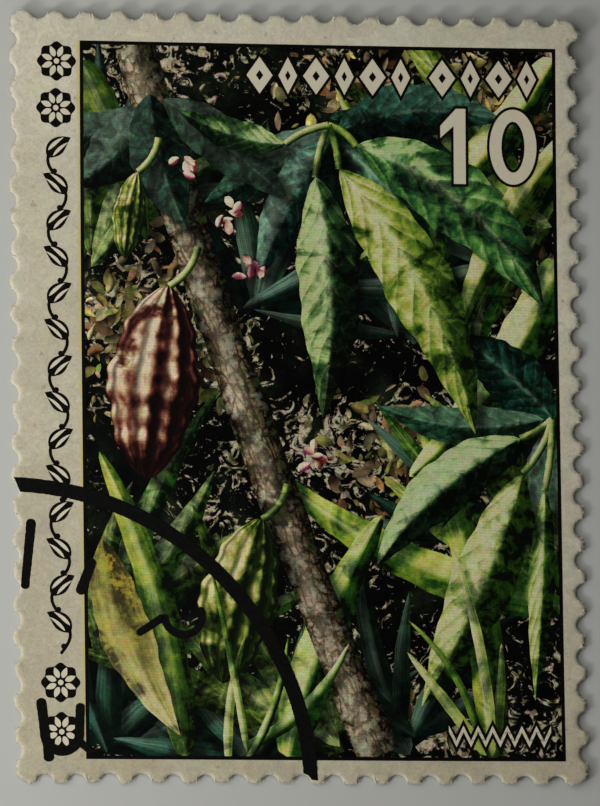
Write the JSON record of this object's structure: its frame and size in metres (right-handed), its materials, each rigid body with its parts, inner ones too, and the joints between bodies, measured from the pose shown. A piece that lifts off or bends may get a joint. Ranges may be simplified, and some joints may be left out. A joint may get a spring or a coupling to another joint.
{
  "type": "postage stamp",
  "caption": "Used postage stamp: perforated paper sheet with a printed plant picture, side ornament, plain number and part of a postmark.",
  "frame": {"origin": "under the middle of the sheet, on the plane that the flat part of its gummed back rests on", "axes": "+X to the right of the picture, +Y to its top, +Z out of the printed face"},
  "size_m": [0.0265, 0.0354, 0.0007],
  "materials": {
    "aged_paper": "unprinted gummed stamp paper, matte, aged to cream, fibrous at the torn teeth",
    "ground_print": "near-black and dark green offset print on coated paper, satin",
    "black_print": "solid black offset print on uncoated face, matte",
    "yellow_print": "thin yellow offset tint beside the black, out of register",
    "cream_print": "paper left bare inside a black printed outline",
    "bark_print": "brown and grey four-colour print, satin",
    "pod_print": "red-brown and cream four-colour print, satin",
    "leaf_print": "green and lime four-colour print, satin",
    "straw_print": "straw and ochre four-colour print, satin",
    "postmark_ink": "black handstamp ink soaked into the paper, matte"
  },
  "bodies": {
    "root": {"paper_sheet": "aged_paper", "picture_ground": "ground_print", "keyline": "black_print", "yellow_fringe": "yellow_print", "foot_zigzag": "cream_print", "leaf_dried": "straw_print", "leaf_edge": "leaf_print", "leaf_foot": "leaf_print", "leaf_inner": "leaf_print", "leaf_low": "leaf_print", "leaf_middle": "leaf_print", "leaf_short": "leaf_print", "leaf_upper": "leaf_print", "number_one": "cream_print", "number_zero": "cream_print", "pod_green": "pod_print", "pod_ripe": "pod_print", "pod_young": "pod_print", "postmark_bar": "postmark_ink", "postmark_cup": "postmark_ink", "postmark_dash": "postmark_ink", "postmark_hook": "postmark_ink", "postmark_ring": "postmark_ink", "postmark_tick": "postmark_ink", "rosette_1": "black_print", "rosette_2": "black_print", "rosette_3": "black_print", "rosette_4": "black_print", "side_vine": "black_print", "title_lozenge_01": "cream_print", "title_lozenge_02": "cream_print", "title_lozenge_03": "cream_print", "title_lozenge_04": "cream_print", "title_lozenge_05": "cream_print", "title_lozenge_06": "cream_print", "title_lozenge_07": "cream_print", "title_lozenge_08": "cream_print", "title_lozenge_09": "cream_print", "title_lozenge_10": "cream_print", "trunk": "bark_print"}
  },
  "joints": []
}
